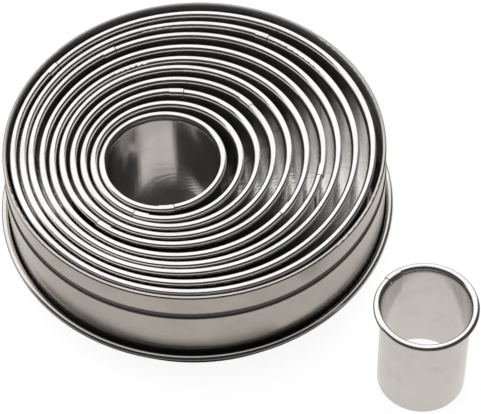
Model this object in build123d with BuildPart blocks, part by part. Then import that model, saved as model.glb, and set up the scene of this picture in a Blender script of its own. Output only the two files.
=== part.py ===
# Eleven plain round pastry cutters: ten nested in a round tin that stands in its upturned lid, and one beside it
# Millimetres, +Z up. The origin is the middle of the lid's underside, on the table.
from build123d import *
import math
import os

os.makedirs("parts", exist_ok=True)

MM = 1.0

# Cutters: a graded set in even steps of diameter, all of one height
cutter_count = 11
smallest_diameter = 24.65 * MM
diameter_step = 7.62 * MM
cutter_height = 34.0 * MM
cutter_sheet = 0.3 * MM
cutter_curl_radius = 1.0 * MM
flare_radius = 2.6 * MM
flare_angle = 40

# Seam of a cutter: the strip's ends step apart by one sheet, one laps inside the other, the curl stays split
seam_lap = 4.0 * MM
seam_weld = 0.1 * MM
seam_slit = 0.25 * MM

# Curled edges run from the wall over the top, out and down, and stop short of the wall at this angle
curl_end_angle = -110

# Tin
tin_sheet = 0.4 * MM
tin_rim_play = 1.4 * MM
tin_floor_play = 1.22 * MM
tin_edge_above_cutters = 0.2 * MM
neck_step = 0.3 * MM
groove_depth = 0.55 * MM
groove_top_drop = 7.0 * MM
groove_upper_height = 0.8 * MM
groove_lower_height = 1.6 * MM
groove_edge_blend = 0.12 * MM
groove_inner_blend = 0.6 * MM
fold_thickness = 1.1 * MM
fold_height = 1.8 * MM

# Lid, which lies upturned under the tin
lid_sheet = 0.4 * MM
lid_height = 10.0 * MM
lid_curl_radius = 1.1 * MM
lid_clearance = 0.35 * MM

# Drawn-in shoulder that the tin and the lid share
shoulder_angle = 60
shoulder_gap = 0.25 * MM
foot_outer_blend = 0.7 * MM
foot_inner_blend = 0.3 * MM
shoulder_blend = 2.0 * MM

# The smallest cutter stands beside the tin, this far from the lid's edge
standing_gap = 13.2 * MM
standing_angle = -43.34

# Each nested cutter has slid this way, by this share of its free room, inside the next one out.
# The lists run from the second smallest cutter to the largest.
slide_angles = [-167, -147, -137, -126, 161, -143, -124, -166, -152, -114]
slide_shares = [0.72, 0.75, 0.62, 0.72, 0.64, 0.71, 0.88, 0.74, 0.79, 0.43]

# The way each seam faces, from the smallest cutter to the largest.
# Side 1 has the outer layer clockwise of the seam, side -1 anticlockwise.
seam_angles = [137, 280, 244, 81, 38, 228, 321, 345, 118, 60, 141]
seam_sides = [1, 1, -1, -1, -1, -1, -1, -1, -1, -1, -1]

# Sizes that follow from the ones above
flare_end_angle = 180 - flare_angle
flare_mid_angle = 180 - flare_angle / 2
cutter_curl_mid_angle = (flare_end_angle + curl_end_angle) / 2
lid_curl_mid_angle = (180 + curl_end_angle) / 2
shoulder_slope = math.tan(math.radians(shoulder_angle))
shoulder_lean = math.sin(math.radians(shoulder_angle))
flare_excess = flare_radius - cutter_curl_radius
curl_centre_reach = flare_radius - flare_excess * math.cos(math.radians(flare_angle))
flare_rise = flare_excess * math.sin(math.radians(flare_angle))
flare_height = cutter_height - cutter_curl_radius - flare_rise
flare_at_curl = flare_radius - math.sqrt(flare_radius**2 - flare_rise**2)
cutter_rim_overhang = curl_centre_reach + cutter_curl_radius - cutter_sheet
largest_radius = (smallest_diameter + (cutter_count - 1) * diameter_step) / 2
tin_rim_radius = largest_radius + cutter_rim_overhang + tin_rim_play
tin_neck_radius = tin_rim_radius + fold_thickness
tin_body_radius = tin_neck_radius + neck_step
groove_radius = tin_neck_radius - groove_depth
groove_middle_drop = groove_top_drop + groove_upper_height
groove_bottom_drop = groove_middle_drop + groove_lower_height
fold_radius = fold_thickness / 2
tin_floor_top = lid_sheet + tin_sheet
tin_top = tin_floor_top + cutter_height + tin_edge_above_cutters
tin_floor_radius = largest_radius + tin_floor_play
lid_inner_radius = tin_body_radius + lid_clearance
lid_outer_radius = lid_inner_radius + lid_sheet


def on_circle(centre, radius, angle):
    """Point on a circle, with the angle anticlockwise from the first axis."""
    turn = math.radians(angle)
    return (centre[0] + radius * math.cos(turn), centre[1] + radius * math.sin(turn))


def make_cutter(label, wall_radius, place, height, seam_angle, side):
    """Cutter of two half turns that meet flush at the back, step apart at the seam and lap there."""
    inner_radius = wall_radius - cutter_sheet
    seam_way = (math.cos(math.radians(seam_angle)), math.sin(math.radians(seam_angle)), 0)
    seam_normal = (seam_way[1], -seam_way[0], 0)
    seam_plane = Plane(origin=(place[0], place[1], height), x_dir=seam_way, z_dir=seam_normal)
    stepped_place = on_circle(place, cutter_sheet / 2, seam_angle)
    middle_axis = Axis((place[0], place[1], height), (0, 0, 1))
    stepped_axis = Axis((stepped_place[0], stepped_place[1], height), (0, 0, 1))
    lap_angle = math.degrees(seam_lap / wall_radius)
    curl_bottom = cutter_height - 2 * cutter_curl_radius
    layers = [
        (inner_radius, middle_axis, side * 180),
        (inner_radius, middle_axis, -side * lap_angle),
        (inner_radius + cutter_sheet, stepped_axis, -side * 180),
    ]
    with BuildPart() as cutter:
        for layer_radius, layer_axis, layer_arc in layers:
            outer_face = layer_radius + cutter_sheet
            flare_centre = (layer_radius + flare_radius, flare_height)
            curl_centre = (layer_radius + curl_centre_reach, cutter_height - cutter_curl_radius)
            flare_inside = flare_radius - cutter_sheet
            curl_inside = cutter_curl_radius - cutter_sheet
            with BuildSketch(seam_plane):
                with BuildLine():
                    Line((layer_radius, 0), (layer_radius, flare_height))
                    ThreePointArc(
                        (layer_radius, flare_height),
                        on_circle(flare_centre, flare_radius, flare_mid_angle),
                        on_circle(flare_centre, flare_radius, flare_end_angle),
                    )
                    ThreePointArc(
                        on_circle(curl_centre, cutter_curl_radius, flare_end_angle),
                        on_circle(curl_centre, cutter_curl_radius, cutter_curl_mid_angle),
                        on_circle(curl_centre, cutter_curl_radius, curl_end_angle),
                    )
                    Line(
                        on_circle(curl_centre, cutter_curl_radius, curl_end_angle),
                        on_circle(curl_centre, curl_inside, curl_end_angle),
                    )
                    ThreePointArc(
                        on_circle(curl_centre, curl_inside, curl_end_angle),
                        on_circle(curl_centre, curl_inside, cutter_curl_mid_angle),
                        on_circle(curl_centre, curl_inside, flare_end_angle),
                    )
                    ThreePointArc(
                        on_circle(flare_centre, flare_inside, flare_end_angle),
                        on_circle(flare_centre, flare_inside, flare_mid_angle),
                        (outer_face, flare_height),
                    )
                    Line((outer_face, flare_height), (outer_face, 0))
                    Line((outer_face, 0), (layer_radius, 0))
                make_face()
            revolve(axis=layer_axis, revolution_arc=layer_arc)

        # Weld between the lapped layers
        with BuildSketch(seam_plane):
            with Locations((inner_radius, 0)):
                Rectangle(
                    cutter_sheet + seam_weld,
                    flare_height + seam_weld,
                    align=(Align.MIN, Align.MIN),
                )
        revolve(axis=middle_axis, revolution_arc=-side * lap_angle)

        # Slit where the curled edge meets itself
        with BuildSketch(seam_plane):
            with Locations((inner_radius - cutter_sheet, curl_bottom)):
                Rectangle(4 * cutter_curl_radius, 3 * cutter_curl_radius, align=(Align.MIN, Align.MIN))
        extrude(amount=seam_slit / 2, both=True, mode=Mode.SUBTRACT)
    cutter.part.label = label
    return cutter.part


# Nested cutters are made first, from the largest inwards
place = (0, 0)
opening_radius = tin_rim_radius
for index in range(cutter_count - 1, 0, -1):
    wall_radius = (smallest_diameter + index * diameter_step) / 2
    free_room = opening_radius - wall_radius - cutter_rim_overhang
    place = on_circle(place, free_room * slide_shares[index - 1], slide_angles[index - 1])
    name = "cutter_" + str(index + 1).zfill(2)
    nested = make_cutter(
        name, wall_radius, place, tin_floor_top, seam_angles[index], seam_sides[index]
    )
    export_step(nested, "parts/" + name + ".step")
    opening_radius = wall_radius - cutter_sheet + flare_at_curl

# Smallest cutter, standing beside the lid's edge
lid_curl_centre = (lid_inner_radius + lid_curl_radius, lid_height - lid_curl_radius)
smallest_reach = smallest_diameter / 2 + cutter_rim_overhang
standing_distance = lid_curl_centre[0] + lid_curl_radius + standing_gap + smallest_reach
standing_place = on_circle((0, 0), standing_distance, standing_angle)
smallest = make_cutter(
    "cutter_01", smallest_diameter / 2, standing_place, 0, seam_angles[0], seam_sides[0]
)
export_step(smallest, "parts/cutter_01.step")

# Drawn-in faces of the tin and the lid, as the radii they would reach on the table
tin_inner_cone_radius = tin_floor_radius - tin_floor_top / shoulder_slope
tin_cone_radius = tin_inner_cone_radius + tin_sheet / shoulder_lean
lid_cone_radius = tin_cone_radius + shoulder_gap / shoulder_lean
lid_foot_radius = lid_cone_radius + lid_sheet / shoulder_lean

# Lid: flat panel, drawn-in shoulder, short wall, and its edge curled outwards
lid_curl_inside = lid_curl_radius - lid_sheet
lid_outer_shoulder = (lid_outer_radius - lid_foot_radius) * shoulder_slope
lid_panel_corner = lid_cone_radius + lid_sheet / shoulder_slope
lid_inner_shoulder = (lid_inner_radius - lid_cone_radius) * shoulder_slope
with BuildPart() as lid:
    with BuildSketch(Plane.XZ):
        with BuildLine():
            FilletPolyline(
                (0, 0),
                (lid_foot_radius, 0),
                (lid_outer_radius, lid_outer_shoulder),
                (lid_outer_radius, lid_curl_centre[1]),
                radius=[foot_outer_blend, shoulder_blend],
            )
            ThreePointArc(
                (lid_outer_radius, lid_curl_centre[1]),
                on_circle(lid_curl_centre, lid_curl_inside, lid_curl_mid_angle),
                on_circle(lid_curl_centre, lid_curl_inside, curl_end_angle),
            )
            Line(
                on_circle(lid_curl_centre, lid_curl_inside, curl_end_angle),
                on_circle(lid_curl_centre, lid_curl_radius, curl_end_angle),
            )
            ThreePointArc(
                on_circle(lid_curl_centre, lid_curl_radius, curl_end_angle),
                on_circle(lid_curl_centre, lid_curl_radius, lid_curl_mid_angle),
                (lid_inner_radius, lid_curl_centre[1]),
            )
            FilletPolyline(
                (lid_inner_radius, lid_curl_centre[1]),
                (lid_inner_radius, lid_inner_shoulder),
                (lid_panel_corner, lid_sheet),
                (0, lid_sheet),
                radius=[shoulder_blend, foot_inner_blend],
            )
            Line((0, lid_sheet), (0, 0))
        make_face()
    revolve(axis=Axis.Z)
lid.part.label = "lid"
export_step(lid.part, "parts/lid.step")

# Tin: floor on the lid's panel, shoulder, straight wall with a sharp rolled groove, edge folded inwards
tin_foot_radius = tin_cone_radius + lid_sheet / shoulder_slope
tin_shoulder = (tin_body_radius - tin_cone_radius) * shoulder_slope
tin_inner_shoulder = (tin_body_radius - tin_sheet - tin_inner_cone_radius) * shoulder_slope
fold_centre = (tin_neck_radius - fold_radius, tin_top - fold_radius)
fold_inside = fold_radius - tin_sheet
with BuildPart() as tin:
    with BuildSketch(Plane.XZ):
        with BuildLine():
            FilletPolyline(
                (0, lid_sheet),
                (tin_foot_radius, lid_sheet),
                (tin_body_radius, tin_shoulder),
                (tin_body_radius, tin_top - groove_bottom_drop),
                (groove_radius, tin_top - groove_middle_drop),
                (tin_neck_radius, tin_top - groove_top_drop),
                (tin_neck_radius, fold_centre[1]),
                radius=[
                    foot_outer_blend,
                    shoulder_blend,
                    groove_edge_blend,
                    groove_inner_blend,
                    groove_edge_blend,
                ],
            )
            ThreePointArc(
                (tin_neck_radius, fold_centre[1]),
                (fold_centre[0], tin_top),
                (tin_rim_radius, fold_centre[1]),
            )
            Line((tin_rim_radius, fold_centre[1]), (tin_rim_radius, tin_top - fold_height))
            Line(
                (tin_rim_radius, tin_top - fold_height),
                (tin_rim_radius + tin_sheet, tin_top - fold_height),
            )
            Line(
                (tin_rim_radius + tin_sheet, tin_top - fold_height),
                (tin_rim_radius + tin_sheet, fold_centre[1]),
            )
            ThreePointArc(
                (tin_rim_radius + tin_sheet, fold_centre[1]),
                (fold_centre[0], fold_centre[1] + fold_inside),
                (tin_neck_radius - tin_sheet, fold_centre[1]),
            )
            FilletPolyline(
                (tin_neck_radius - tin_sheet, fold_centre[1]),
                (tin_neck_radius - tin_sheet, tin_top - groove_top_drop),
                (groove_radius - tin_sheet, tin_top - groove_middle_drop),
                (tin_body_radius - tin_sheet, tin_top - groove_bottom_drop),
                (tin_body_radius - tin_sheet, tin_inner_shoulder),
                (tin_floor_radius, tin_floor_top),
                (0, tin_floor_top),
                radius=[
                    groove_edge_blend,
                    groove_inner_blend,
                    groove_edge_blend,
                    shoulder_blend,
                    foot_inner_blend,
                ],
            )
            Line((0, tin_floor_top), (0, lid_sheet))
        make_face()
    revolve(axis=Axis.Z)
tin.part.label = "tin"
export_step(tin.part, "parts/tin.step")
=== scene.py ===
# Nested pastry cutters in their tin: finishes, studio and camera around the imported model
import math

import bpy
from mathutils import Matrix, Vector


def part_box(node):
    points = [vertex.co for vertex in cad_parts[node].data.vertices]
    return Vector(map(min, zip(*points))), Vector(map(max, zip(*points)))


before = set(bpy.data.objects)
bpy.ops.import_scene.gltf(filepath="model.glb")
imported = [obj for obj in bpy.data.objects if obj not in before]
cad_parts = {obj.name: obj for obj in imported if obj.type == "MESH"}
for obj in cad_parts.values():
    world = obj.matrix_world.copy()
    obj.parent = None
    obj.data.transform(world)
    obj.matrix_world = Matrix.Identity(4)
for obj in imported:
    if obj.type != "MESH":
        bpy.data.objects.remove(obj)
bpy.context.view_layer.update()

MM = 0.001
WHITE = (1, 1, 1, 1)
least_distance = 1 * MM

# Camera, fitted to the rims in the photograph
photo_width = 481
focal_pixels = 2150
sensor_width = 36
camera_place = Vector((12.7 * MM, -392.6 * MM, 509.5 * MM))
camera_pitch = math.radians(52.16)
camera_roll = math.radians(-1.68)
camera_clip = (10 * MM, 20.0)

# Overhead softbox: a round patch of sky, tilted a little back and to the left
softbox_axis = (-0.151, 0.242, 0.959)
softbox_edge = (0.74, 0.86)
softbox_level = 1.6

# Bright sweep behind the object: its heights and its spread, as shares of a unit direction
sweep_heights = (-0.02, 0.12)
sweep_spread = (0.22, 0.56)
sweep_turn = math.radians(20)
least_level_length = 0.01
surround_level = 0.055

# Floor: white to the camera; in reflections a bright patch round the object, dark close to the lid
floor_size = 6.0
patch_colour = (1.0, 0.965, 0.90)
patch_level = 0.87
patch_edge = (26 * MM, 38 * MM)
patch_far_share = 0.15
lid_shade_edge = (5.5 * MM, 8.5 * MM)
lid_shade_share = 0.03
lid_shade_side_shift = 10 * MM
unshaded_edge = (16 * MM, 24 * MM)
plain_floor_shade = 0.14
plain_floor_lift = 0.93

# Rolled stainless sheet: tints, metal, roughness, and the strength of ripples and grain
cutter_tint = (0.65, 0.635, 0.63)
cutter_metal = 0.94
cutter_roughness = 0.10
cutter_ripple = 0.06
cutter_grain = 0.10
tin_tint = (0.46, 0.433, 0.409)
tin_metal = 0.90
tin_roughness = 0.16
tin_ripple = 0.04
tin_grain = 0.06
lid_tint = (0.58, 0.56, 0.53)
lid_roughness = 0.08
worn_share = 0.90
anisotropy = 0.45

# Wear on the sheet: scale, detail and roughness of each noise, and how far each one goes
streak_noise = (1.0, 3.0, 0.6)
smudge_noise = (90, 4.0, 0.6)
cloud_noise = (25, 2.0, 0.5)
ripple_noise = (60, 1.0, 0.4)
facet_noise = (1.0, 2.0, 0.5)
streaks_per_metre = 4000
streak_stretch = 80
facets_per_metre = 350
facets_up_per_metre = 30
facet_strength = 1.0
smudge_edge = (0.3, 0.6)
cloud_edge = (0.35, 0.7)
cloud_smoothing = 0.04
cloud_roughening = 0.06
grain_roughening = 0.08
grain_depth = 0.01 * MM
ripple_depth = 0.6 * MM
facet_depth = 0.05 * MM

# Where the tin looks different, by inset from its outside and drop from its top:
# its clean floor, its inside and the back of its fold dulled to a grey painted in place of a
# reflection, and painted shade in its groove
tin_floor_tint = (0.80, 0.78, 0.75)
tin_floor_inset = (2.3 * MM, 3.3 * MM)
tin_floor_polish = 0.6
# Painted reflection: a dull grey for the inside wall and the back of the fold, in place of what they
# reflect
tin_inside_reflection_tint = (0.42, 0.40, 0.38)
tin_inside_reflection_metal = 0.3
tin_inside_inset = (0.35 * MM, 0.45 * MM)
tin_fold_drop = (0.8 * MM, 1.4 * MM)
back_spread = (-0.3, 0.3)
# Painted shade in the groove
groove_shade_tint = (0.17, 0.16, 0.15)
groove_top_drop = (6.9 * MM, 7.4 * MM)
groove_bottom_drop = (8.8 * MM, 9.4 * MM)

# The front of the lid's curl, darker all over with painted shade, and deeper painted shade inside and
# under it
curl_front_shade_tint = (0.30, 0.285, 0.27)
# Painted shade inside and under the front of the curl
curl_under_shade_tint = (0.06, 0.058, 0.055)
curl_inside_inset = (0.85 * MM, 1.25 * MM)
curl_under_drop = (0.7 * MM, 1.0 * MM)
front_spread = (-0.95, -0.45)


class Graph:
    """Node tree with short ways to add the nodes used here."""

    def __init__(self, tree):
        self.tree = tree
        self.tree.nodes.clear()

    def add(self, kind, **settings):
        node = self.tree.nodes.new(kind)
        for name, value in settings.items():
            setattr(node, name, value)
        return node

    def feed(self, socket, value):
        """Link a socket or set a plain value."""
        if isinstance(value, bpy.types.NodeSocket):
            self.tree.links.new(value, socket)
        else:
            socket.default_value = value

    def maths(self, operation, first, second):
        node = self.add("ShaderNodeMath", operation=operation)
        self.feed(node.inputs[0], first)
        self.feed(node.inputs[1], second)
        return node.outputs[0]

    def length(self, first, second):
        first_square = self.maths("MULTIPLY", first, first)
        second_square = self.maths("MULTIPLY", second, second)
        return self.maths("POWER", self.maths("ADD", first_square, second_square), 0.5)

    def step(self, value, edge, low=0.0, high=1.0):
        """Smooth step between two levels as the value crosses an edge."""
        node = self.add("ShaderNodeMapRange", interpolation_type="SMOOTHSTEP")
        self.feed(node.inputs["Value"], value)
        self.feed(node.inputs["From Min"], edge[0])
        self.feed(node.inputs["From Max"], edge[1])
        self.feed(node.inputs["To Min"], low)
        self.feed(node.inputs["To Max"], high)
        return node.outputs["Result"]

    def noise(self, vector, scale, detail, roughness):
        node = self.add("ShaderNodeTexNoise")
        self.feed(node.inputs["Vector"], vector)
        self.feed(node.inputs["Scale"], scale)
        self.feed(node.inputs["Detail"], detail)
        self.feed(node.inputs["Roughness"], roughness)
        return node.outputs[0]

    def bump(self, height, depth, strength, normal=None):
        node = self.add("ShaderNodeBump")
        self.feed(node.inputs["Height"], height)
        self.feed(node.inputs["Distance"], depth)
        self.feed(node.inputs["Strength"], strength)
        if normal:
            self.feed(node.inputs["Normal"], normal)
        return node.outputs[0]

    def mix_colour(self, share, first, second):
        node = self.add("ShaderNodeMix", data_type="RGBA")
        self.feed(node.inputs["Factor"], share)
        self.feed(node.inputs["A"], first)
        self.feed(node.inputs["B"], second)
        return node.outputs["Result"]

    def background(self, strength):
        node = self.add("ShaderNodeBackground")
        self.feed(node.inputs["Color"], WHITE)
        self.feed(node.inputs["Strength"], strength)
        return node.outputs[0]

    def split(self, vector):
        node = self.add("ShaderNodeSeparateXYZ")
        self.feed(node.inputs[0], vector)
        return node.outputs

    def join(self, *values):
        node = self.add("ShaderNodeCombineXYZ")
        for socket, value in zip(node.inputs, values):
            self.feed(socket, value)
        return node.outputs[0]

    def object_place(self):
        return self.add("ShaderNodeTexCoord").outputs["Object"]

    def around_axis(self, centre):
        """Distance from an upright axis, the unit way across from it, and the height."""
        x, y, height = self.split(self.object_place())
        x = self.maths("SUBTRACT", x, centre[0])
        y = self.maths("SUBTRACT", y, centre[1])
        distance = self.length(x, y)
        divisor = self.maths("MAXIMUM", distance, least_distance)
        return distance, self.maths("DIVIDE", x, divisor), self.maths("DIVIDE", y, divisor), height

    def camera_switch(self, elsewhere, to_camera):
        """One shader for what the camera sees itself, another for every other ray."""
        path = self.add("ShaderNodeLightPath")
        node = self.add("ShaderNodeMixShader")
        self.feed(node.inputs[0], path.outputs["Is Camera Ray"])
        self.feed(node.inputs[1], elsewhere)
        self.feed(node.inputs[2], to_camera)
        return node.outputs[0]


def opaque(colour):
    return tuple(colour) + (1,)


def footprint(node):
    """Middle and radius of a round piece, seen from above."""
    low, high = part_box(node)
    return ((low[0] + high[0]) / 2, (low[1] + high[1]) / 2), (high[0] - low[0]) / 2


def paint_cutter(graph, colour, roughness, inset, drop, way_y):
    """The cutters look the same all over."""
    return colour, cutter_metal, roughness


def paint_tin(graph, colour, roughness, inset, drop, way_y):
    """Clean floor, inside wall dulled to a grey painted in place of a reflection, painted shade in the
    groove.
    """
    # Painted shade: a near-black tint between the groove's top and bottom edges
    below_top = graph.step(drop, groove_top_drop)
    above_bottom = graph.step(drop, groove_bottom_drop, 1.0, 0.0)
    in_groove = graph.maths("MULTIPLY", above_bottom, below_top)
    # Painted reflection: the inside wall, and the fold only at the back, dulled to a grey that stands
    # in for what they reflect
    within = graph.step(inset, tin_inside_inset)
    under_fold = graph.step(drop, tin_fold_drop)
    inner_wall = graph.maths("MULTIPLY", within, under_fold)
    in_fold = graph.step(drop, tin_fold_drop, 1.0, 0.0)
    fold_at_back = graph.maths("MULTIPLY", in_fold, graph.step(way_y, back_spread))
    painted_reflection = graph.maths("MAXIMUM", inner_wall, fold_at_back)
    on_floor = graph.step(inset, tin_floor_inset)
    colour = graph.mix_colour(in_groove, colour, opaque(groove_shade_tint))
    colour = graph.mix_colour(painted_reflection, colour, opaque(tin_inside_reflection_tint))
    colour = graph.mix_colour(on_floor, colour, opaque(tin_floor_tint))
    metal = graph.maths("MAXIMUM", graph.step(painted_reflection, (0, 1), tin_metal, tin_inside_reflection_metal), on_floor)
    polish = graph.step(on_floor, (0, 1), 1.0, tin_floor_polish)
    return colour, metal, graph.maths("MULTIPLY", roughness, polish)


def paint_lid(graph, colour, roughness, inset, drop, way_y):
    """Front of the curled edge darker with painted shade, and deeper painted shade inside and under it.
    """
    # Painted shade inside and under the curl, at the front only
    inside = graph.step(inset, curl_inside_inset)
    under = graph.step(drop, curl_under_drop)
    at_front = graph.step(way_y, front_spread, 1.0, 0.0)
    curl_shade = graph.maths("MULTIPLY", graph.maths("MAXIMUM", inside, under), at_front)
    # Painted shade over the whole front of the curl
    colour = graph.mix_colour(at_front, colour, opaque(curl_front_shade_tint))
    colour = graph.mix_colour(curl_shade, colour, opaque(curl_under_shade_tint))
    return colour, tin_metal, roughness


def rolled_steel(node, paint, tint, roughness, ripple, grain):
    """Rolled sheet bent into a ring: grain round the ring, soft ripples, smudges and dulled patches."""
    centre, radius = footprint(node)
    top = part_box(node)[1][2]
    material = bpy.data.materials.new("steel_" + node)
    material.use_nodes = True
    graph = Graph(material.node_tree)
    shader = graph.add("ShaderNodeBsdfPrincipled")
    output = graph.add("ShaderNodeOutputMaterial")
    graph.feed(output.inputs["Surface"], shader.outputs[0])
    shader.inputs["Anisotropic"].default_value = anisotropy
    place = graph.object_place()
    distance, way_x, way_y, height = graph.around_axis(centre)

    # Grain: streaks long round the ring and short across it
    across = graph.maths("ADD", height, distance)
    streaks = graph.join(
        graph.maths("MULTIPLY", way_x, radius * streak_stretch),
        graph.maths("MULTIPLY", way_y, radius * streak_stretch),
        graph.maths("MULTIPLY", across, streaks_per_metre),
    )
    grain_value = graph.noise(streaks, *streak_noise)

    # Smudges, dulled patches, and the soft ripples and facets left by bending the strip
    smudge = graph.noise(place, *smudge_noise)
    cloud = graph.noise(place, *cloud_noise)
    ripple_value = graph.noise(place, *ripple_noise)
    facets = graph.join(
        graph.maths("MULTIPLY", way_x, radius * facets_per_metre),
        graph.maths("MULTIPLY", way_y, radius * facets_per_metre),
        graph.maths("MULTIPLY", height, facets_up_per_metre),
    )
    facet_value = graph.noise(facets, *facet_noise)

    worn = opaque(worn_share * channel for channel in tint)
    colour = graph.mix_colour(graph.step(smudge, smudge_edge), worn, opaque(tint))
    smoothest = roughness - cloud_smoothing
    roughest = roughness + cloud_roughening
    rough_grain = graph.maths("MULTIPLY", grain_value, grain_roughening)
    rough = graph.maths("ADD", rough_grain, graph.step(cloud, cloud_edge, smoothest, roughest))
    inset = graph.maths("SUBTRACT", radius, distance)
    drop = graph.maths("SUBTRACT", top, height)
    colour, metal, rough = paint(graph, colour, rough, inset, drop, way_y)
    graph.feed(shader.inputs["Base Color"], colour)
    graph.feed(shader.inputs["Metallic"], metal)
    graph.feed(shader.inputs["Roughness"], rough)
    fine = graph.bump(grain_value, grain_depth, grain)
    faceted = graph.bump(facet_value, facet_depth, facet_strength, fine)
    graph.feed(shader.inputs["Normal"], graph.bump(ripple_value, ripple_depth, ripple, faceted))
    return material


def dress_pieces():
    """Every sheet metal piece gets rolled steel with grain round its own axis."""
    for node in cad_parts:
        if node == "tin":
            finish = (paint_tin, tin_tint, tin_roughness, tin_ripple, tin_grain)
        elif node == "lid":
            finish = (paint_lid, lid_tint, lid_roughness, tin_ripple, tin_grain)
        else:
            finish = (paint_cutter, cutter_tint, cutter_roughness, cutter_ripple, cutter_grain)
        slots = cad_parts[node].data.materials
        slots.clear()
        slots.append(rolled_steel(node, *finish))


def make_world():
    """White to the camera; to all else a softbox overhead and a bright sweep behind, in a dark room."""
    world = bpy.data.worlds.new("studio")
    bpy.context.scene.world = world
    world.use_nodes = True
    graph = Graph(world.node_tree)
    output = graph.add("ShaderNodeOutputWorld")
    way = graph.add("ShaderNodeTexCoord").outputs["Generated"]
    x, y, z = graph.split(way)

    facing = graph.add("ShaderNodeVectorMath", operation="DOT_PRODUCT")
    graph.feed(facing.inputs[0], way)
    graph.feed(facing.inputs[1], softbox_axis)
    softbox = graph.step(facing.outputs["Value"], softbox_edge)

    level_length = graph.maths("MAXIMUM", graph.length(x, y), least_level_length)
    back = graph.maths("MULTIPLY", y, math.cos(sweep_turn))
    left = graph.maths("MULTIPLY", x, -math.sin(sweep_turn))
    backness = graph.maths("DIVIDE", graph.maths("ADD", back, left), level_length)
    sweep = graph.maths("MULTIPLY", graph.step(backness, sweep_spread), graph.step(z, sweep_heights))

    share = graph.maths("MAXIMUM", softbox, sweep)
    studio = graph.background(graph.step(share, (0, 1), surround_level, softbox_level))
    white = graph.background(1.0)
    graph.feed(output.inputs["Surface"], graph.camera_switch(studio, white))


def make_floor():
    """Plain white floor with a faint shadow; in reflections a bright patch, dark close to the lid."""
    mesh = bpy.data.meshes.new("floor")
    half = floor_size / 2
    corners = [(-half, -half, 0), (half, -half, 0), (half, half, 0), (-half, half, 0)]
    mesh.from_pydata(corners, [], [(0, 1, 2, 3)])
    floor = bpy.data.objects.new("floor", mesh)
    bpy.context.scene.collection.objects.link(floor)
    material = bpy.data.materials.new("floor")
    material.use_nodes = True
    mesh.materials.append(material)
    graph = Graph(material.node_tree)
    output = graph.add("ShaderNodeOutputMaterial")

    # Bright patch within reach of the lid or the standing cutter, far floor darker
    lid_centre, lid_radius = footprint("lid")
    lid_distance, _, way_y, _ = graph.around_axis(lid_centre)
    lid_gap = graph.maths("SUBTRACT", lid_distance, lid_radius)
    cutter_centre, cutter_radius = footprint("cutter_01")
    cutter_gap = graph.maths("SUBTRACT", graph.around_axis(cutter_centre)[0], cutter_radius)
    nearest = graph.maths("MINIMUM", lid_gap, cutter_gap)
    patch = graph.step(nearest, patch_edge, patch_level, patch_level * patch_far_share)

    # Dark close to the front of the lid, but not beside the standing cutter
    backward = graph.maths("ADD", way_y, 1.0)
    shift = graph.maths("MULTIPLY", graph.maths("MULTIPLY", backward, backward), lid_shade_side_shift)
    shaded = graph.step(graph.maths("ADD", lid_gap, shift), lid_shade_edge, lid_shade_share)
    unshaded = graph.step(cutter_gap, unshaded_edge, 1.0, 0.0)
    shade = graph.maths("MAXIMUM", shaded, unshaded)
    glow = graph.add("ShaderNodeEmission")
    graph.feed(glow.inputs["Color"], opaque(patch_colour))
    graph.feed(glow.inputs["Strength"], graph.maths("MULTIPLY", patch, shade))

    plain = graph.add("ShaderNodeBsdfDiffuse")
    graph.feed(plain.inputs["Color"], opaque([plain_floor_shade] * 3))
    lift = graph.add("ShaderNodeEmission")
    graph.feed(lift.inputs["Strength"], plain_floor_lift)
    both = graph.add("ShaderNodeAddShader")
    graph.feed(both.inputs[0], plain.outputs[0])
    graph.feed(both.inputs[1], lift.outputs[0])
    graph.feed(output.inputs["Surface"], graph.camera_switch(glow.outputs[0], both.outputs[0]))


def make_camera():
    """Camera where the photograph was taken from."""
    data = bpy.data.cameras.new("camera")
    data.sensor_width = sensor_width
    data.lens = sensor_width * focal_pixels / photo_width
    data.clip_start, data.clip_end = camera_clip
    camera = bpy.data.objects.new("camera", data)
    bpy.context.scene.collection.objects.link(camera)
    forward = Vector((0, math.cos(camera_pitch), -math.sin(camera_pitch)))
    level_up = Vector((0, math.sin(camera_pitch), math.cos(camera_pitch)))
    side = Vector((1, 0, 0))
    right = side * math.cos(camera_roll) + level_up * math.sin(camera_roll)
    up = level_up * math.cos(camera_roll) - side * math.sin(camera_roll)
    turn = Matrix((right, up, -forward)).transposed()
    camera.matrix_world = Matrix.Translation(camera_place) @ turn.to_4x4()
    bpy.context.scene.camera = camera


dress_pieces()
make_world()
make_floor()
make_camera()
bpy.context.scene.view_settings.view_transform = "Standard"
